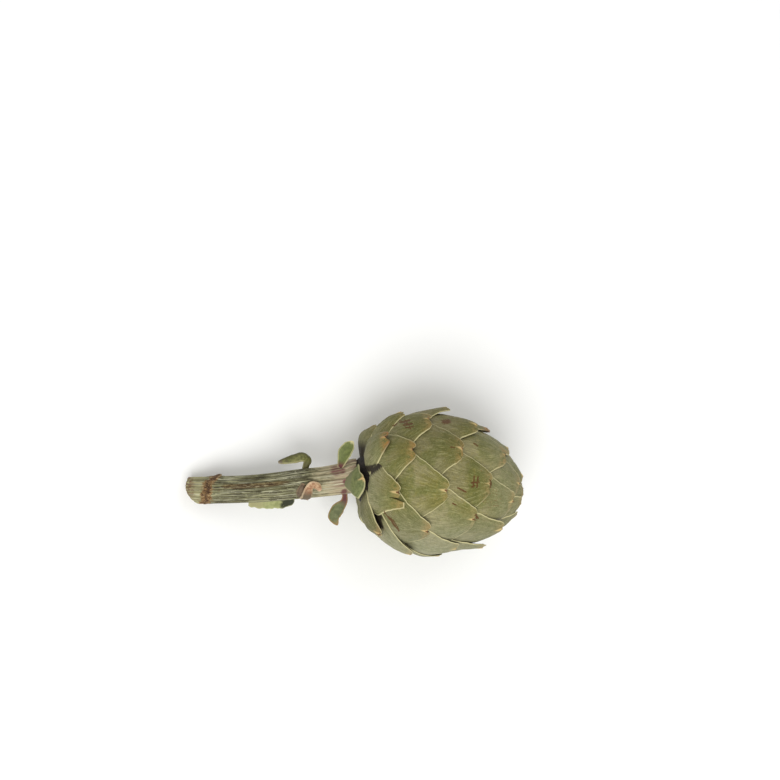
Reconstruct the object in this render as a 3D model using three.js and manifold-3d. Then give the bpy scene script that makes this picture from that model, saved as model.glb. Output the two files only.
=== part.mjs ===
// A globe artichoke as picked, lying on its side: a head of overlapping bracts, and a cut, ribbed stem with
// the small bracts and leaf remains that grow on it. Millimetres, +Z up. The stem runs along -X from the
// head, and the origin is on the surface that the plant lies on, under the middle of it.
import * as THREE from "three";
import { mergeVertices } from "three/addons/utils/BufferGeometryUtils.js";
import Module from "manifold-3d";

const wasm = await Module();
wasm.setup();

// How far everything below moves to bring its middle over the origin.
const CENTRING = new THREE.Vector3(0.63, 1.2, 0);

// The neck is where the stem meets the head. The head's axis points from there to its tip.
const NECK = new THREE.Vector3(-2.2, 2.8, 35.8);
const HEAD_PITCH = 8; // degrees, tip up
const HEAD_YAW = 6; // degrees, towards -Y
const NECK_GAP = 0.3; // between the stem and the head, each its own solid

// The head's outer form: two half ovals of revolution that meet at its widest place.
const HEAD_LENGTH = 102.6;
const HEAD_RADIUS = 45.2;
const WIDEST_AT = 44.4; // from the neck
const BASE_REACH = 48; // half length of the oval on the stem's side
const TIP_POWER = 1.55; // under 2 gives a pointed tip

// The bracts follow one spiral, numbered from the base to the tip.
const FIRST_BRACT = -10;
const LAST_BRACT = 44;
const STEM_BRACT = -8; // this one grew lower down, on the neck of the stem
const SPIRAL_STEP = -131.8; // degrees from one bract to the next
const SPIRAL_START = 10.5; // degrees from the top, of bract 0
const TIP_START = 36.8; // along the head's outline from the neck, of bract 0's tip
const TIP_STEP = 2.54;
const CROWDED_FROM = 28; // from here on the tips crowd together towards the head's own tip
const CROWDING = 0.89;

// One bract.
const BRACT_LENGTH = 46;
const BRACT_HALF_WIDTH = 22;
const TIP_HALF_WIDTH = 4.9;
const NEAR_SPREAD = 0.6; // how fast half the width grows from the tip, beside the nearly level neighbour
const FAR_SPREAD = 0.97; // and beside the neighbour whose tip is well ahead
const SHINGLE_SLOPE = 0.125; // how far a bract sinks under its neighbours for each millimetre from its tip
const TIP_ROLL = 1.1; // how far the tip curls down onto what lies under it
const NEAR_ROLL = 0.2; // and the edge over the neighbour whose tip is nearly level
const FAR_ROLL = 1.5; // and the other edge
const BASE_BULGE = 3.2; // how far along the head a bract takes to swell out to the head's full radius
const CORE_DEPTH = 5.6;
const LOOSE_LENGTH = 20; // the stretch of a bract that can stand off the head
const LOOSE_THICKNESS = 1.5;

// Tips that stand off the head, and bracts that grew out of line, by number.
const STANDING_TIPS = {
  "-10": 2, "-9": 2, "-7": 2, "-6": 2, "-5": 2.6, "-3": 2.6, "-2": 1.6,
  0: 1.5, 5: 1.4, 9: 3.6, 17: 2.6, 20: 3, 24: 3, 25: 2, 27: 2.5,
};
const GROWN_ASIDE = { // along the head in millimetres, and round it in degrees
  "-10": [7, 22], "-9": [0, 25], "-6": [0, 45], "-5": [3, 6], "-3": [0, 12], "-2": [5, 3], 2: [0, 12],
  3: [-1, -2], 9: [5, 2], 17: [2, 2], 20: [4, 8], 22: [1, 4], 24: [-3, -5], 25: [3, -4],
};

// Where the lowest bracts start along the head, their share of the usual width, and how far they swell.
const BASAL_BRACTS = {
  "-10": [0.3, 1.15, 4], "-9": [2.5, 1, 1.8], "-7": [2.5, 1, 1.8], "-6": [3, 1, 1.8], "-5": [2.8, 1.05, 2.8],
  "-4": [3, 1, 1.8], "-3": [3.4, 0.9, 2.2], "-2": [3.4, 1, 1.8], "-1": [3.4, 1, 1.8], 0: [4.2, 1, 1.8],
};

// One bract is torn from its tip, and the smaller side of it has come away.
const TORN_BRACT = 0;
const TEAR_AT = 3.4; // sideways from its middle
const TEAR_LENGTH = 11;
const FLAP_BLUNTNESS = 3.2;
const FLAP_SLIP = { forward: 2.2, sideways: 2.8, inward: 0.8 };

// The stem's centre line, from beyond the cut to inside the head, and its radius there.
const STEM_LINE = [
  [-104, -6.2, 2.5, 7.4], [-98, -6.1, 5.4, 7.6], [-85.5, -6, 11.2, 8], [-63, -5.1, 20.1, 8.1],
  [-48.5, -3.8, 25.4, 8.4], [-34, -2, 29.4, 8.7], [-19.5, -0.5, 32.7, 8.8], [-8, 1.4, 34.9, 9.3],
  [-2.2, 2.8, 35.8, 10.2], [4, 2.2, 36.7, 10.4],
];
const STEM_RIBS = 20;
const RIB_DEPTH = 0.35;
const STEM_CUT = { at: new THREE.Vector3(-95.8, -6.1, 7), facing: new THREE.Vector3(-0.86, -0.36, -0.34) };
const LEAF_SCAR_AT = -85.5; // where an old leaf's scar rings the stem
const LEAF_SCAR_HEIGHT = 0.6;

const radians = THREE.MathUtils.degToRad;
const clamp = THREE.MathUtils.clamp;
const smooth = THREE.MathUtils.smoothstep;
const lerp = THREE.MathUtils.lerp;

// A fixed draw from -1 to 1 for a bract's number and a purpose.
function draw(number, purpose) {
  const wave = Math.sin(number * 12.9898 + purpose * 78.233) * 43758.5453;
  return 2 * (wave - Math.floor(wave)) - 1;
}

// The head's own axes: along it, up from it and sideways from it.
const along = new THREE.Vector3(
  Math.cos(radians(HEAD_PITCH)) * Math.cos(radians(HEAD_YAW)),
  -Math.cos(radians(HEAD_PITCH)) * Math.sin(radians(HEAD_YAW)),
  Math.sin(radians(HEAD_PITCH)),
);
const up = new THREE.Vector3(0, 0, 1).addScaledVector(along, -along.z).normalize();
const side = new THREE.Vector3().crossVectors(along, up);

function headPoint(distance, radius, azimuth) {
  return NECK.clone()
    .addScaledVector(along, distance)
    .addScaledVector(up, radius * Math.cos(azimuth))
    .addScaledVector(side, radius * Math.sin(azimuth));
}

function headRadius(distance) {
  const towardsBase = distance < WIDEST_AT;
  const reach = towardsBase ? BASE_REACH : HEAD_LENGTH - WIDEST_AT;
  const share = clamp(Math.abs(distance - WIDEST_AT) / reach, 0, 1);
  return HEAD_RADIUS * Math.sqrt(1 - share ** (towardsBase ? 2 : TIP_POWER));
}

// A curve in the plane of distance and radius, measured by its length, with its outward normal.
function measured(points) {
  const lengths = [0];
  for (let i = 1; i < points.length; i++) {
    lengths.push(lengths[i - 1] + points[i].distanceTo(points[i - 1]));
  }
  const total = lengths.at(-1);
  const at = (length) => {
    const wanted = clamp(length, 0, total);
    const i = Math.max(lengths.findIndex((l) => l >= wanted), 1);
    const share = (wanted - lengths[i - 1]) / (lengths[i] - lengths[i - 1]);
    const before = points[Math.max(i - 3, 0)];
    const after = points[Math.min(i + 2, points.length - 1)];
    const run = after.clone().sub(before).normalize();
    return { point: points[i - 1].clone().lerp(points[i], share), normal: new THREE.Vector2(-run.y, run.x) };
  };
  return { total, at };
}

// Points packed closely at both ends, where a bract's path bends most.
function pathPoints(from, to, radiusAt) {
  const steps = 60;
  return Array.from({ length: steps + 1 }, (_, k) => {
    const distance = from + ((to - from) * (1 - Math.cos((Math.PI * k) / steps))) / 2;
    return new THREE.Vector2(distance, radiusAt(distance));
  });
}

const outline = measured(pathPoints(0, HEAD_LENGTH, headRadius));

function tipLength(number) {
  if (number <= CROWDED_FROM) {
    return TIP_START + TIP_STEP * number;
  }
  const reached = TIP_START + TIP_STEP * CROWDED_FROM;
  return reached + (outline.total - reached) * (1 - CROWDING ** (number - CROWDED_FROM));
}

// Everything that sets one bract: where its path runs, which way it faces, its width and its tip.
function bract(number) {
  const [movedAlong, movedRound] = GROWN_ASIDE[number] ?? [0, 0];
  const low = clamp((6 - number) / 9, 0, 1);
  const small = clamp((number - 30) / 20, 0, 0.6);
  const usual = [clamp(0.8 * (number + 5), 0.2, 12), 1, 0.45 + 1.3 * low];
  const [base, width, pillow] = BASAL_BRACTS[number] ?? usual;
  const swell = (distance) => {
    const share = clamp((distance - base) / BASE_BULGE, 0, 1);
    return headRadius(distance) * Math.sqrt(1 - (1 - share) ** 2);
  };
  const tip = tipLength(number) + movedAlong;
  const ahead = Math.min(6, outline.total - tip - 1);
  const path = measured(pathPoints(base, outline.at(tip + 0.6 * draw(number, 1) + ahead).point.x, swell));
  const tipAt = path.total - ahead;
  const lower = clamp((number + 7) / 12, -0.2, 1);
  const upper = clamp((number - 24) / (LAST_BRACT - 24), 0, 1);
  return {
    path,
    tipAt,
    pillow,
    halfWidth: width * BRACT_HALF_WIDTH * (0.56 + 0.44 * lower) * (1 - 0.55 * upper),
    azimuth: radians(SPIRAL_START + SPIRAL_STEP * number + movedRound + 1.5 * draw(number, 2)),
    length: Math.min(BRACT_LENGTH, tipAt - 0.5),
    standing: STANDING_TIPS[number] ?? 0.3 + 0.3 * draw(number, 3),
    tipHalf: (TIP_HALF_WIDTH + 0.6 * draw(number, 4)) * (1 - 0.6 * small) * (1 - 0.35 * low),
    notch: (2.2 + 0.8 * draw(number, 5)) * (1 - small),
    skew: 0.9 * draw(number, 7),
    sinksFor: BRACT_LENGTH - 32 * low,
    root: [-8 + 7 * low, 14 + 12 * low],
  };
}

// Half the bract's width at a length from its tip: blunt and rounded at the tip, straight sides, then even.
function halfWidthAt(b, fromTip, spread) {
  const wide = b.tipHalf + spread * fromTip;
  const even = b.halfWidth - 0.15 * Math.max(b.halfWidth - wide, 0);
  const rounding = Math.sqrt(1 - (1 - clamp((fromTip + 0.35) / 2.6, 0, 1)) ** 2);
  return Math.min(wide, even) * rounding * smooth(b.length - fromTip, ...b.root);
}

function bractPoint(b, { length, sideways }, lift) {
  const { point, normal } = b.path.at(b.tipAt - length);
  const radius = Math.max(point.y + normal.y * lift, 0.5);
  return headPoint(point.x + normal.x * lift, radius, b.azimuth + sideways / Math.max(radius, 3.2));
}

function bractLift(b, fromTip, across) {
  const loose = clamp(1 - fromTip / LOOSE_LENGTH, 0, 1);
  const curl = TIP_ROLL * clamp(1 - fromTip / 9, 0, 1) ** 2;
  const roll = (across > 0 ? FAR_ROLL : NEAR_ROLL) * Math.abs(across) ** 2.4;
  const sunk = SHINGLE_SLOPE * (fromTip - 0.75 * Math.max(fromTip - b.sinksFor, 0));
  const tapered = smooth(fromTip, 1, 12) * (1 - 0.8 * smooth(fromTip, 26, 44));
  const swell = tapered * smooth(b.length - fromTip, 6, 22);
  return b.standing * loose ** 2 - sunk - curl - roll + b.pillow * (1 - across ** 2) * swell;
}

// A place on a bract, by its length from the tip and its share of the width. A torn bract has two sides.
function onBract(b, fromTip, share, side) {
  const free = side === "flap" ? clamp(1 - fromTip / TEAR_LENGTH, 0, 1) : 0;
  const readAt = fromTip + FLAP_BLUNTNESS * free;
  const tear = clamp(TEAR_AT / halfWidthAt(b, readAt, FAR_SPREAD), 0.1, 0.75);
  const [from, to] = { whole: [-1, 1], body: [-1, tear], flap: [tear - 0.04, 1] }[side];
  const across = lerp(from, to, (share + 1) / 2);
  const sideways = across * halfWidthAt(b, readAt, across < 0 ? NEAR_SPREAD : FAR_SPREAD);
  const notch = b.notch * Math.exp(-((sideways / 2) ** 2)) * clamp(1 - fromTip / 8, 0, 1) ** 2;
  const skew = b.skew * clamp(1 - fromTip / 18, 0, 1) ** 2;
  const slip = free ** 1.3;
  return {
    length: fromTip + notch - FLAP_SLIP.forward * slip,
    sideways: sideways + skew + FLAP_SLIP.sideways * slip,
    lift: bractLift(b, fromTip + notch, across) - FLAP_SLIP.inward * slip,
  };
}

// A closed solid between two matching grids of points: rows run along it and columns across it.
function slab(outer, inner) {
  const rows = outer.length;
  const columns = outer[0].length;
  const positions = [...outer.flat(), ...inner.flat()].flatMap((p) => p.toArray());
  const faces = [];
  const quad = (a, b, c, d) => faces.push(a, b, c, a, c, d);
  const top = (i, j) => i * columns + j;
  const under = (i, j) => (rows + i) * columns + j;
  for (let i = 0; i < rows - 1; i++) {
    for (let j = 0; j < columns - 1; j++) {
      quad(top(i, j), top(i, j + 1), top(i + 1, j + 1), top(i + 1, j));
      faces.push(under(i, j), under(i + 1, j + 1), under(i, j + 1));
      faces.push(under(i, j), under(i + 1, j), under(i + 1, j + 1));
    }
    quad(under(i, 0), top(i, 0), top(i + 1, 0), under(i + 1, 0));
    quad(top(i, columns - 1), under(i, columns - 1), under(i + 1, columns - 1), top(i + 1, columns - 1));
  }
  for (let j = 0; j < columns - 1; j++) {
    quad(under(0, j + 1), top(0, j + 1), top(0, j), under(0, j));
    quad(under(rows - 1, j), top(rows - 1, j), top(rows - 1, j + 1), under(rows - 1, j + 1));
  }
  const geometry = new THREE.BufferGeometry();
  geometry.setAttribute("position", new THREE.Float32BufferAttribute(positions, 3));
  geometry.setIndex(faces);
  return geometry;
}

function solid(geometry) {
  const bare = geometry.clone();
  bare.deleteAttribute("normal");
  bare.deleteAttribute("uv");
  const merged = mergeVertices(bare, 1e-4);
  const vertProperties = new Float32Array(merged.attributes.position.array);
  const triVerts = new Uint32Array(merged.index.array);
  return new wasm.Manifold(new wasm.Mesh({ numProp: 3, vertProperties, triVerts }));
}

function geometryOf(joined) {
  const mesh = joined.getMesh();
  const geometry = new THREE.BufferGeometry();
  geometry.setAttribute("position", new THREE.BufferAttribute(new Float32Array(mesh.vertProperties), 3));
  geometry.setIndex(new THREE.BufferAttribute(new Uint32Array(mesh.triVerts), 1));
  geometry.computeVertexNormals();
  return geometry;
}

// A large block on the far side of a plane, for cutting everything there away.
function beyond(point, facing) {
  const block = new THREE.BoxGeometry(400, 400, 100).translate(0, 0, 50);
  const upward = new THREE.Vector3(0, 0, 1);
  const turn = new THREE.Quaternion().setFromUnitVectors(upward, facing.clone().normalize());
  return solid(block.applyQuaternion(turn).translate(point.x, point.y, point.z));
}

// Whatever presses on the surface that the plant lies on is flat there.
function pressedFlat(shape) {
  return shape.subtract(beyond(new THREE.Vector3(), new THREE.Vector3(0, 0, -1)));
}

const ACROSS = [-1, -0.8, -0.45, 0, 0.45, 0.8, 1];
const ROWS = 9;

function bractSolid(b, side) {
  const outer = [];
  const inner = [];
  const bottom = -CORE_DEPTH - 3;
  for (let row = ROWS; row >= 0; row--) {
    const fromTip = b.length * (row / ROWS) ** 1.6;
    const sunk = b.standing > 2 ? smooth(fromTip, 1, 10) : 1;
    const places = ACROSS.map((x) => onBract(b, fromTip, x, side));
    outer.push(places.map((place) => bractPoint(b, place, place.lift)));
    inner.push(places.map((place) => {
      const under = place.lift - LOOSE_THICKNESS;
      return bractPoint(b, place, Math.min(lerp(under, bottom, sunk), under));
    }));
  }
  return solid(slab(outer, inner));
}

// The receptacle that the bracts grow from. It shows only between the lowest bracts.
function coreSolid() {
  const neckRadius = 9.6;
  const steps = 18;
  const profile = [new THREE.Vector2(0, NECK_GAP), new THREE.Vector2(neckRadius, NECK_GAP)];
  for (let k = 0; k < steps; k++) {
    const { point, normal } = outline.at((outline.total * k) / steps);
    const sunk = point.addScaledVector(normal, -CORE_DEPTH);
    profile.push(new THREE.Vector2(sunk.y, sunk.x));
  }
  profile.push(new THREE.Vector2(0, profile.at(-1).y));
  const turned = new THREE.LatheGeometry(profile, 32);
  const frame = new THREE.Matrix4().makeBasis(side, along, up).setPosition(NECK);
  return solid(turned.applyMatrix4(frame));
}

function headGeometry() {
  let joined = coreSolid();
  for (let number = FIRST_BRACT; number <= LAST_BRACT; number++) {
    if (number === STEM_BRACT) {
      continue;
    }
    for (const side of number === TORN_BRACT ? ["body", "flap"] : ["whole"]) {
      joined = joined.add(bractSolid(bract(number), side));
    }
  }
  return geometryOf(pressedFlat(joined));
}

const stemCurve = new THREE.CatmullRomCurve3(STEM_LINE.map(([x, y, z]) => new THREE.Vector3(x, y, z)));

function stemRadius(x) {
  const i = clamp(STEM_LINE.findIndex((p) => p[0] > x), 1, STEM_LINE.length - 1);
  const [before, after] = [STEM_LINE[i - 1], STEM_LINE[i]];
  return lerp(before[3], after[3], clamp((x - before[0]) / (after[0] - before[0]), 0, 1));
}

// The bare stem: a bent tube with fine ribs, and the low ring that a fallen leaf left.
function stemSolid() {
  const stations = 24;
  const points = STEM_RIBS * 2;
  const positions = [];
  const faces = [];
  for (let k = 0; k <= stations; k++) {
    const centre = stemCurve.getPointAt(k / stations);
    const run = stemCurve.getTangentAt(k / stations);
    const top = new THREE.Vector3(0, 0, 1).addScaledVector(run, -run.z).normalize();
    const across = new THREE.Vector3().crossVectors(run, top);
    const scar = LEAF_SCAR_HEIGHT * Math.exp(-(((centre.x - LEAF_SCAR_AT) / 3) ** 2));
    for (let j = 0; j < points; j++) {
      const angle = (2 * Math.PI * j) / points;
      const radius = stemRadius(centre.x) + scar - (j % 2 ? RIB_DEPTH : 0);
      const p = centre.clone();
      p.addScaledVector(top, radius * Math.cos(angle)).addScaledVector(across, radius * Math.sin(angle));
      positions.push(p.x, p.y, p.z);
    }
  }
  for (let k = 0; k < stations; k++) {
    for (let j = 0; j < points; j++) {
      const [a, b] = [k * points + j, k * points + ((j + 1) % points)];
      faces.push(a, b, a + points, b, b + points, a + points);
    }
  }
  for (let end = 0; end <= stations; end += stations) {
    const ring = positions.slice(end * points * 3, (end + 1) * points * 3);
    const total = (c) => ring.filter((_, i) => i % 3 === c).reduce((sum, v) => sum + v, 0);
    const middle = [0, 1, 2].map((c) => total(c) / points);
    const hub = positions.length / 3;
    positions.push(...middle);
    for (let j = 0; j < points; j++) {
      const [a, b] = [end * points + j, end * points + ((j + 1) % points)];
      faces.push(...(end ? [hub, a, b] : [hub, b, a]));
    }
  }
  const geometry = new THREE.BufferGeometry();
  geometry.setAttribute("position", new THREE.Float32BufferAttribute(positions, 3));
  geometry.setIndex(faces);
  return solid(geometry);
}

// What grows on the stem. Each is a blade along a line of points, with its half width at each, the way its
// outer face looks, how far its edges rise over its middle, and its thickness.
const STEM_BLADES = [
  { // the wide bract that lies over the neck
    line: [[-9, 0, 43.2], [-6.8, 0.1, 47], [-4.3, 0.4, 51], [-2.5, 1.2, 54.4], [-0.4, 2.8, 57.2]],
    half: [4, 7.6, 9.9, 8, 1.4],
    facing: [-0.55, 0.16, 0.83],
    cup: -0.2,
    thick: 1.5,
  },
  { // the stalked bract above the neck
    line: [
      [-12.7, 4, 36], [-11.4, 8.5, 39.5], [-10.6, 12.5, 42], [-9.3, 17, 43.5], [-6.7, 21, 44],
      [-4.6, 23.7, 44],
    ],
    half: [1.5, 1.5, 2.6, 4, 3.2, 0.8],
    facing: [-0.35, 0.1, 1],
    cup: 0.3,
    thick: 1.2,
  },
  { // the bract that hangs below the neck
    line: [
      [-8, -4.4, 32], [-7, -9.4, 30.5], [-7.4, -12.9, 29], [-10.6, -17, 27], [-12.6, -22, 25],
      [-10.4, -27.4, 23.5],
    ],
    half: [1.4, 1.3, 1.9, 3.7, 3.4, 0.8],
    facing: [-0.2, -0.3, 1],
    cup: 0.3,
    thick: 1.2,
  },
  { // the leaflet that curls back above the middle of the stem
    line: [
      [-31.3, 4, 29], [-30.5, 8.6, 30], [-29.8, 12.6, 31.5], [-33, 14.7, 33], [-39, 13.3, 33],
      [-47.5, 11.2, 31],
    ],
    half: [1.8, 1.8, 2.4, 2.9, 2.6, 1.3],
    facing: [0.1, 0.5, 1],
    cup: -0.3,
    thick: 1.3,
  },
  { // the torn leaf along the lower side
    line: [[-63, -11.4, 15.5], [-56, -12, 16.5], [-49, -12.2, 18], [-42.7, -12.2, 19.5], [-36.3, -12, 21.5]],
    half: [2.6, 4.9, 4.8, 4.6, 2.4],
    facing: [0, -0.35, 1],
    cup: 0.14,
    thick: 1.1,
  },
  { // the dried stub of a side shoot
    line: [
      [-31.5, -8, 28], [-31.6, -10.4, 34], [-31.4, -8.8, 38.4], [-30.6, -4.6, 41.2], [-28.4, -2, 42.4],
      [-25.4, -3.2, 41.2], [-22.7, -6.4, 37.8],
    ],
    half: [2.2, 3, 2.9, 2.2, 1.8, 2, 1.3],
    facing: [0, -0.4, 1],
    cup: -0.2,
    thick: 1.8,
  },
  { // the dry scale over the leaf scar
    line: [[-87.6, -1.4, 15.5], [-85, 0.8, 15.6], [-82.4, 2.6, 16], [-79.8, 3.6, 17]],
    half: [1.8, 2.4, 1.8, 0.8],
    facing: [-0.1, 0.8, 0.6],
    cup: -0.3,
    thick: 1.2,
  },
];
const BLADE_ROWS = 9;
const BLADE_ACROSS = [-1, -0.5, 0, 0.5, 1];

function bladeSolid({ line, half, facing, cup, thick }) {
  const curve = new THREE.CatmullRomCurve3(line.map((p) => new THREE.Vector3(...p)));
  const looks = new THREE.Vector3(...facing).normalize();
  const outer = [];
  const inner = [];
  for (let row = 0; row <= BLADE_ROWS; row++) {
    const t = row / BLADE_ROWS;
    const place = t * (line.length - 1);
    const i = Math.min(Math.floor(place), line.length - 2);
    const width = lerp(half[i], half[i + 1], place - i);
    const middle = curve.getPoint(t);
    const run = curve.getTangent(t);
    const across = new THREE.Vector3().crossVectors(run, looks).normalize();
    const out = new THREE.Vector3().crossVectors(across, run);
    const point = (x, depth) => middle.clone()
      .addScaledVector(across, x * width)
      .addScaledVector(out, cup * width * x * x + depth);
    outer.push(BLADE_ACROSS.map((x) => point(x, thick / 2)));
    inner.push(BLADE_ACROSS.map((x) => point(x, -thick / 2)));
  }
  return solid(slab(outer, inner));
}

function stemGeometry() {
  let joined = stemSolid();
  joined = joined.subtract(beyond(STEM_CUT.at, STEM_CUT.facing));
  joined = joined.subtract(beyond(NECK, along));
  for (const blade of STEM_BLADES) {
    joined = joined.add(bladeSolid(blade));
  }
  return geometryOf(pressedFlat(joined));
}

function mesh(name, geometry, color, roughness) {
  const made = new THREE.Mesh(geometry, new THREE.MeshStandardMaterial({ color, roughness, metalness: 0 }));
  made.name = name;
  return made;
}

const artichoke = new THREE.Group();
artichoke.add(mesh("head", headGeometry(), 0x82805a, 0.62));
artichoke.add(mesh("stem", stemGeometry(), 0x8a8460, 0.7));
artichoke.position.copy(CENTRING);
export default artichoke;
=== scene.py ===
"""The looks of a globe artichoke that lies on its side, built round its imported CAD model.

The head is a spiral of thin, closed bracts over a small core, and the stem carries a few small bracts and
leaf remains. Forms are worked out in millimetres, in the model's own frame, and become metres at the end.
"""

import math

import bpy
import numpy as np
from mathutils import Matrix


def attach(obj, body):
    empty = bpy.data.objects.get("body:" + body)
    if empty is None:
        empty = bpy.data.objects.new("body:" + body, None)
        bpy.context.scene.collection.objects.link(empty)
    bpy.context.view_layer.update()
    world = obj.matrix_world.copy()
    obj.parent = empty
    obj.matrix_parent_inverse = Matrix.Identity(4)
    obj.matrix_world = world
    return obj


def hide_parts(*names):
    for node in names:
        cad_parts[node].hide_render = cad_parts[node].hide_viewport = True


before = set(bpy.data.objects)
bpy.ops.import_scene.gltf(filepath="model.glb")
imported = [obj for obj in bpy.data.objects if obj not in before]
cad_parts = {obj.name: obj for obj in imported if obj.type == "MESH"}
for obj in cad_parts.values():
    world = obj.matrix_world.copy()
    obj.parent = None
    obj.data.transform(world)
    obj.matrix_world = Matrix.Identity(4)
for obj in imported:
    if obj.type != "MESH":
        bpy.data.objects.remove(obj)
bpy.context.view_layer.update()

MM = 0.001

# The CAD model's driving dimensions, repeated here because the finer pieces keep its form.
CENTRING = np.array([0.63, 1.2, 0.0])  # moves the finished forms over the frame's origin
NECK = np.array([-2.2, 2.8, 35.8])  # where the stem meets the head
HEAD_PITCH = math.radians(8)
HEAD_YAW = math.radians(6)
NECK_GAP = 0.3
HEAD_LENGTH = 102.6
HEAD_RADIUS = 45.2
WIDEST_AT = 44.4
BASE_REACH = 48
TIP_POWER = 1.55  # 2 would be an ellipse; less makes the head's tip more pointed
CORE_DEPTH = 5.6
CORE_FOOT = 9.6  # the radius of the core's flat end, at the neck

FIRST_BRACT = -10
LAST_BRACT = 44
INNERMOST_BRACT = 60  # these close the head's tip
STEM_BRACT = -8
TORN_BRACT = 0
PRESS_DEPTH = 0.8
SPIRAL_STEP = math.radians(-131.8)
SPIRAL_START = math.radians(10.5)
TIP_START = 36.8  # where bract 0's tip lies along the outline
TIP_STEP = 2.54
CROWDED_FROM = 28  # from here on the tips lie closer and closer
CROWDING = 0.89

BRACT_LENGTH = 46
BRACT_HALF_WIDTH = 22
TIP_HALF_WIDTH = 4.9
PAST_TIP = 6  # how far a bract's path runs on past its tip
NOTCH_DEPTH = 2.2
KEEL_HEIGHT = 0.75
NEAR_SPREAD = 0.6  # how fast half the width grows from the tip, on the side of the nearly level neighbour
FAR_SPREAD = 0.97
SHINGLE_SLOPE = 0.125  # how fast a bract sinks under its neighbours, from its tip back
CROWN_FROM = 30  # from here on each bract lies a step deeper than the one before
CROWN_STEP = 0.22
TIP_ROLL = 1.1  # how far the tip and the two edges curl down
NEAR_ROLL = 0.2
FAR_ROLL = 1.5
BASE_BULGE = 3.2
LOOSE_LENGTH = 20
STANDING_TIPS = {  # how far these stand off
    -10: 2, -9: 2, -7: 2, -6: 2, -5: 2.6, -3: 2.6, -2: 1,
    0: 1.5, 5: 1.4, 9: 3.6, 17: 2.6, 20: 3, 24: 3, 25: 2, 27: 2.5,
}
GROWN_ASIDE = {  # along the head in millimetres, and round it in degrees
    -10: (7, 22), -9: (0, 25), -6: (0, 45), -5: (3, 6), -3: (0, 12), -2: (5, 3), 2: (0, 12), 3: (-1, -2),
    9: (5, 2), 17: (2, 2), 20: (4, 8), 22: (1, 4), 24: (-3, -5), 25: (3, -4),
}
BASAL_BRACTS = {  # where they start along the head, their share of the usual width, and how far they swell
    -10: (0.3, 1.15, 4), -9: (2.5, 1, 1.8), -7: (2.5, 1, 1.8), -6: (3, 1, 1.8), -5: (2.8, 1.05, 2.8),
    -4: (3, 1, 1.8), -3: (3.4, 0.9, 2.2), -2: (3.4, 1, 1.8), -1: (3.4, 1, 1.8), 0: (4.2, 1, 1.8),
}

STEM_LINE = np.array([  # X, Y, Z and radius, from beyond the cut into the neck
    [-104, -6.2, 2.5, 7.4], [-98, -6.1, 5.4, 7.6], [-85.5, -6, 11.2, 8], [-63, -5.1, 20.1, 8.1],
    [-48.5, -3.8, 25.4, 8.4], [-34, -2, 29.4, 8.7], [-19.5, -0.5, 32.7, 8.8], [-8, 1.4, 34.9, 9.3],
    [-2.2, 2.8, 35.8, 10.2], [4, 2.2, 36.7, 10.4],
])
RIB_DEPTH = 0.665
CUT_HALF_WIDTH = 7.6
STREAK_ANGLE = -0.3  # round the stem from its top, in radians
STEM_CUT_AT = np.array([-95.8, -6.1, 7])
STEM_CUT_FACING = np.array([-0.86, -0.36, -0.34])
CUT_BULGE = 2.2
LEAF_SCAR_AT = -85.5
LEAF_SCAR_WIDTH = 3.4
LEAF_SCAR_HEIGHT = 0.6


def unit(vector):
    return vector / np.linalg.norm(vector, axis=-1, keepdims=True)


def smooth(value, low, high):
    share = np.clip((value - low) / (high - low), 0, 1)
    return share * share * (3 - 2 * share)


def draw(number, purpose):
    """A fixed draw from -1 to 1 for a bract's number and a purpose."""
    wave = math.sin(number * 12.9898 + purpose * 78.233) * 43758.5453
    return 2 * (wave - math.floor(wave)) - 1


def wander(number, purpose, along, period):
    """A smooth fixed curve from about -1 to 1 along a length."""
    total = 0
    for k in range(1, 5):
        phase = math.pi * draw(number, purpose + 0.1 * k)
        total = total + np.sin(2 * math.pi * k * along / period + phase) / k**0.7
    return total / 2


ALONG = np.array([
    math.cos(HEAD_PITCH) * math.cos(HEAD_YAW),
    -math.cos(HEAD_PITCH) * math.sin(HEAD_YAW),
    math.sin(HEAD_PITCH),
])
UP = unit(np.array([0, 0, 1]) - ALONG * ALONG[2])
SIDE = np.cross(ALONG, UP)


def head_point(distance, radius, azimuth):
    """A point by its distance along the head, and its radius and turn round the head's middle line."""
    parts = (distance, radius * np.cos(azimuth), radius * np.sin(azimuth))
    return NECK + sum(np.asarray(p)[..., None] * axis for p, axis in zip(parts, (ALONG, UP, SIDE)))


def head_radius(distance):
    """The oval of revolution that the bracts follow."""
    towards_base = distance < WIDEST_AT
    reach = np.where(towards_base, BASE_REACH, HEAD_LENGTH - WIDEST_AT)
    share = np.clip(np.abs(distance - WIDEST_AT) / reach, 0, 1)
    return HEAD_RADIUS * np.sqrt(1 - share ** np.where(towards_base, 2, TIP_POWER))


class Path:
    """A curve in the plane of distance and radius, measured by its length, with its outward normal."""

    def __init__(self, start, end, radius_at):
        turn = np.linspace(0, math.pi, 91)
        distance = start + (end - start) * (1 - np.cos(turn)) / 2
        self.points = np.stack([distance, radius_at(distance)], axis=1)
        steps = np.linalg.norm(np.diff(self.points, axis=0), axis=1)
        self.lengths = np.concatenate([[0], np.cumsum(steps)])
        self.total = self.lengths[-1]
        last = len(self.points) - 1
        before = self.points[np.maximum(np.arange(last + 1) - 4, 0)]
        after = self.points[np.minimum(np.arange(last + 1) + 4, last)]
        run = unit(after - before)
        self.normals = np.stack([-run[:, 1], run[:, 0]], axis=1)

    def read(self, table, length):
        return np.stack([np.interp(length, self.lengths, column) for column in table.T], -1)

    def at(self, length):
        """The point and the outward normal at a length from the start."""
        wanted = np.clip(length, 0, self.total)
        return self.read(self.points, wanted), unit(self.read(self.normals, wanted))


OUTLINE = Path(0, HEAD_LENGTH, head_radius)


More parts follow.
